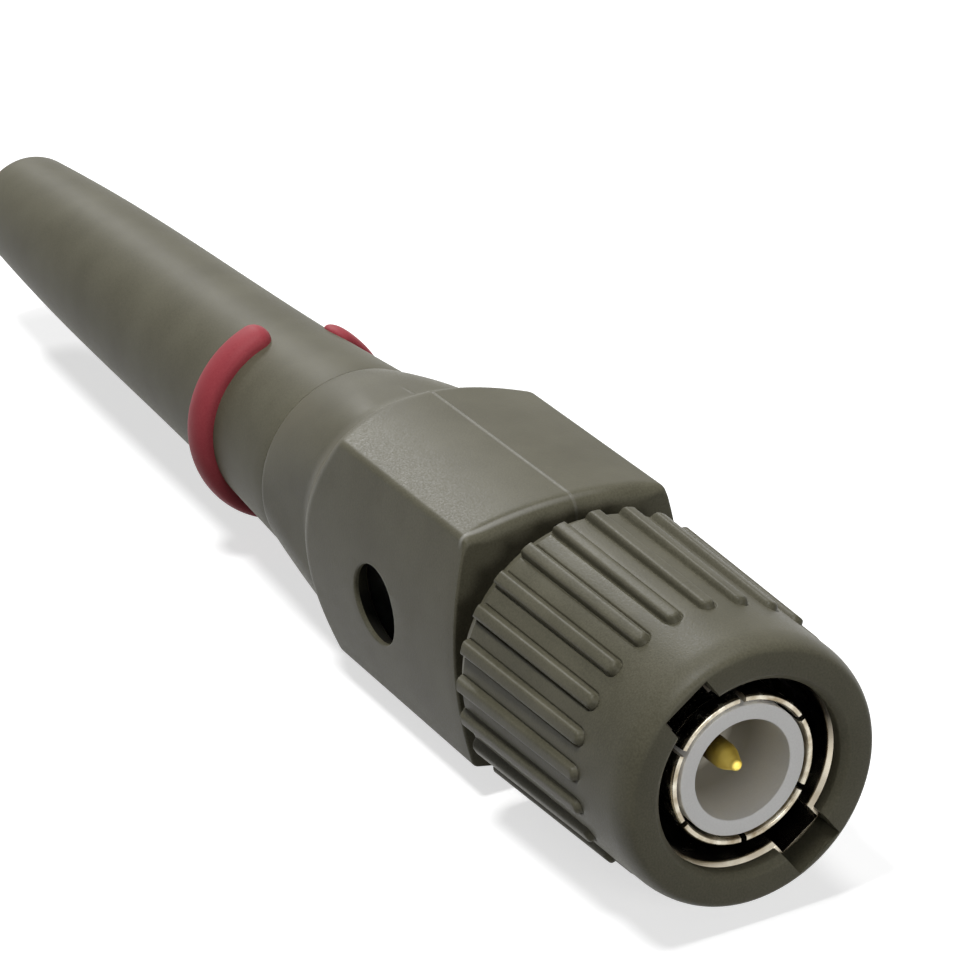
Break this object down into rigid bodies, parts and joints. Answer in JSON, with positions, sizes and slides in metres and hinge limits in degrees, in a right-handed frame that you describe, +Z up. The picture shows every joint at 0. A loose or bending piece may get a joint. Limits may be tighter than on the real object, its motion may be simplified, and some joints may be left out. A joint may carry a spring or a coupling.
{
  "type": "oscilloscope probe plug with compensation box",
  "caption": "Instrument end of a passive probe: a bayonet coaxial plug with a ribbed grip, a compensation box with a trimmer hole, and a long tapered strain relief boot.",
  "frame": {"origin": "centre of the bounding box's base, under the plug's axis", "axes": "+X along the plug's axis, the way the plug mates; the trimmer's hole faces -Y; +Z up"},
  "size_m": [0.088, 0.0158, 0.0158],
  "materials": {
    "moulded_plastic": "satin dark olive grey, lightly grained",
    "boot_elastomer": "satin dark olive grey, smooth",
    "nickel_plate": "bright nickel plate",
    "spring_steel": "plain spring steel",
    "tinned_steel": "dull tin plate",
    "white_insulator": "satin white",
    "gold_plate": "gold plate",
    "tinned_copper": "tinned copper wire",
    "silicone": "matte brick red",
    "circuit_board": "green solder mask",
    "ceramic": "matte tan ceramic",
    "chip_black": "black glaze",
    "trimmer_plastic": "dark brown",
    "marker_red": "dusty red"
  },
  "bodies": {
    "plug": {"outer_contact": "nickel_plate", "front_insulator": "white_insulator", "rear_insulator": "white_insulator", "centre_pin": "gold_plate", "plug_body": "nickel_plate", "face_gasket": "silicone", "wave_washer": "spring_steel", "retaining_ring": "spring_steel", "body_nut": "nickel_plate", "ground_lug": "tinned_steel", "housing_left": "moulded_plastic", "housing_right": "moulded_plastic", "shield_can": "tinned_steel", "circuit_board": "circuit_board", "trimmer_body": "trimmer_plastic", "front_terminal": "tinned_steel", "rear_terminal": "tinned_steel", "fixed_capacitor": "ceramic", "damping_resistor": "chip_black", "shunt_resistor": "chip_black", "signal_lead": "tinned_copper", "cable_anchor": "nickel_plate", "crimp_ferrule": "nickel_plate", "strain_relief_boot": "boot_elastomer", "marker_ring": "marker_red"},
    "coupling_float": {"thrust_washer": "spring_steel"},
    "coupling": {"coupling_grip": "moulded_plastic", "bayonet_shell": "nickel_plate"},
    "trimmer": {"trimmer_rotor": "nickel_plate"}
  },
  "joints": [
    {"name": "coupling_pull", "type": "slide", "parent": "plug", "child": "coupling_float", "axis": [1, 0, 0], "range_m": [0, 0.0006], "stiffness_N_per_m": 2000, "springref_m": -0.0002},
    {"name": "coupling_turn", "type": "hinge", "parent": "coupling_float", "child": "coupling", "pos_m": [0.036, 0, 0.0079], "axis": [1, 0, 0], "continuous": true},
    {"name": "trimmer_turn", "type": "hinge", "parent": "plug", "child": "trimmer", "pos_m": [0.0174, -0.0014, 0.00743], "axis": [0, -1, 0], "continuous": true}
  ]
}
